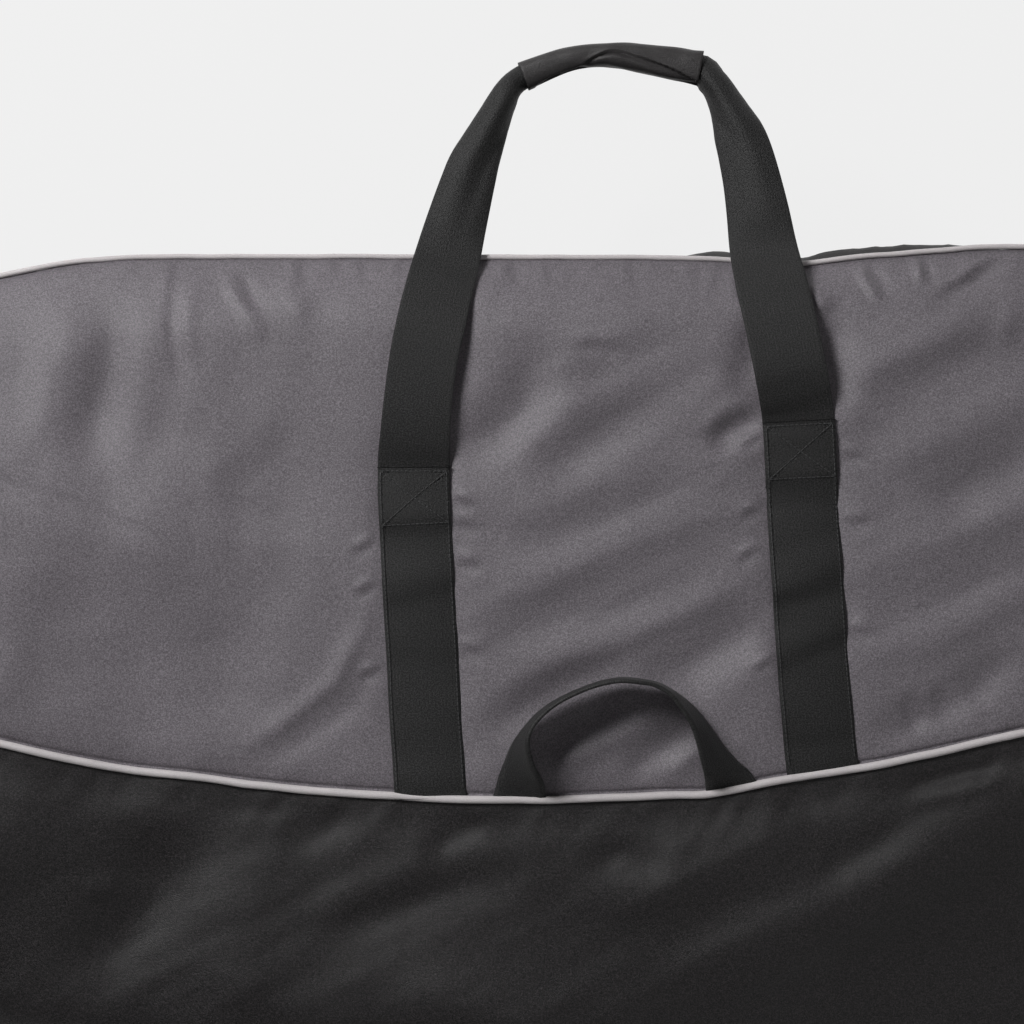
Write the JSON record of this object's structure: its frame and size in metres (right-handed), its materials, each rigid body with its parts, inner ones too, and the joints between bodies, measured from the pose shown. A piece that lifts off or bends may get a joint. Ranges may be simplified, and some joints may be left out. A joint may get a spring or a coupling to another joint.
{
  "type": "snowboard bag",
  "caption": "Long padded soft case with tapered ends that opens like a clamshell on a zipper, with a carry handle and a small grab loop on its front.",
  "frame": {"origin": "middle of the back panel's outer face, on the floor", "axes": "+X along the bag, +Y across it towards the long edge with the carry handle, +Z out of the front panel"},
  "size_m": [1.6576, 0.5614, 0.1993],
  "materials": {
    "grey_twill": "matte",
    "black_cloth": "matte",
    "light_piping": "satin",
    "foam": "matte",
    "lining": "matte",
    "binding": "matte",
    "webbing": "matte",
    "thread": "satin",
    "grip_cloth": "matte",
    "zip_tape": "matte",
    "zip_coil": "satin",
    "zip_metal": "satin",
    "pull_rubber": "matte"
  },
  "bodies": {
    "back_half": {"back_panel": "black_cloth", "back_foam": "foam", "back_lining": "lining", "back_gusset_upper": "black_cloth", "back_gusset_lower": "black_cloth", "back_gusset_left": "black_cloth", "back_gusset_right": "black_cloth", "back_seam_binding": "binding", "back_edge_piping": "light_piping", "zipper_tape_back": "zip_tape", "zipper_coil_back": "zip_coil", "zipper_end_stops": "zip_metal", "board_strap_loop_left": "webbing", "board_strap_loop_right": "webbing", "board_strap_hook_left": "webbing", "board_strap_hook_right": "webbing"},
    "front_half": {"front_upper_panel": "grey_twill", "front_lower_panel": "black_cloth", "front_seam_piping": "light_piping", "front_edge_piping": "light_piping", "front_foam": "foam", "front_lining": "lining", "front_gusset_upper": "black_cloth", "front_gusset_lower": "black_cloth", "front_gusset_left": "black_cloth", "front_gusset_right": "black_cloth", "front_seam_binding": "binding", "zipper_tape_front": "zip_tape", "zipper_coil_front": "zip_coil", "front_strap_left": "webbing", "front_strap_right": "webbing", "front_box_stitching": "thread"},
    "front_handle": {"front_handle_webbing": "webbing", "handle_grip_wrap": "grip_cloth"},
    "grab_loop": {"grab_loop_webbing": "webbing"},
    "slider_left_body": {"slider_left": "zip_metal"},
    "slider_right_body": {"slider_right": "zip_metal"},
    "pull_left": {"pull_tab_left": "zip_metal", "pull_grip_left": "pull_rubber"},
    "pull_right": {"pull_tab_right": "zip_metal", "pull_grip_right": "pull_rubber"}
  },
  "joints": [
    {"name": "lid_fold", "type": "hinge", "parent": "back_half", "child": "front_half", "pos_m": [0, -0.223, 0.075], "axis": [1, 0, 0], "range_deg": [0, 150]},
    {"name": "handle_swing", "type": "hinge", "parent": "front_half", "child": "front_handle", "pos_m": [-0.0055, 0.1216, 0.1705], "axis": [0.9927, 0.1203, 0], "range_deg": [0, 150]},
    {"name": "loop_swing", "type": "hinge", "parent": "front_half", "child": "grab_loop", "pos_m": [0.004, -0.05985, 0.1705], "axis": [0.9995, 0.0318, 0], "range_deg": [0, 120]},
    {"name": "slider_left_travel", "type": "slide", "parent": "back_half", "child": "slider_left_body", "axis": [0.9806, -0.1961, 0], "range_m": [-0.235, 0]},
    {"name": "slider_right_travel", "type": "slide", "parent": "back_half", "child": "slider_right_body", "axis": [0.9806, -0.1961, 0], "range_m": [0, 0.14]},
    {"name": "pull_left_swing", "type": "hinge", "parent": "slider_left_body", "child": "pull_left", "pos_m": [0.55334, 0.16867, 0.075], "axis": [0, 0, -1], "range_deg": [0, 95]},
    {"name": "pull_right_swing", "type": "hinge", "parent": "slider_right_body", "child": "pull_right", "pos_m": [0.58668, 0.162, 0.075], "axis": [0, 0, 1], "range_deg": [0, 95]}
  ]
}
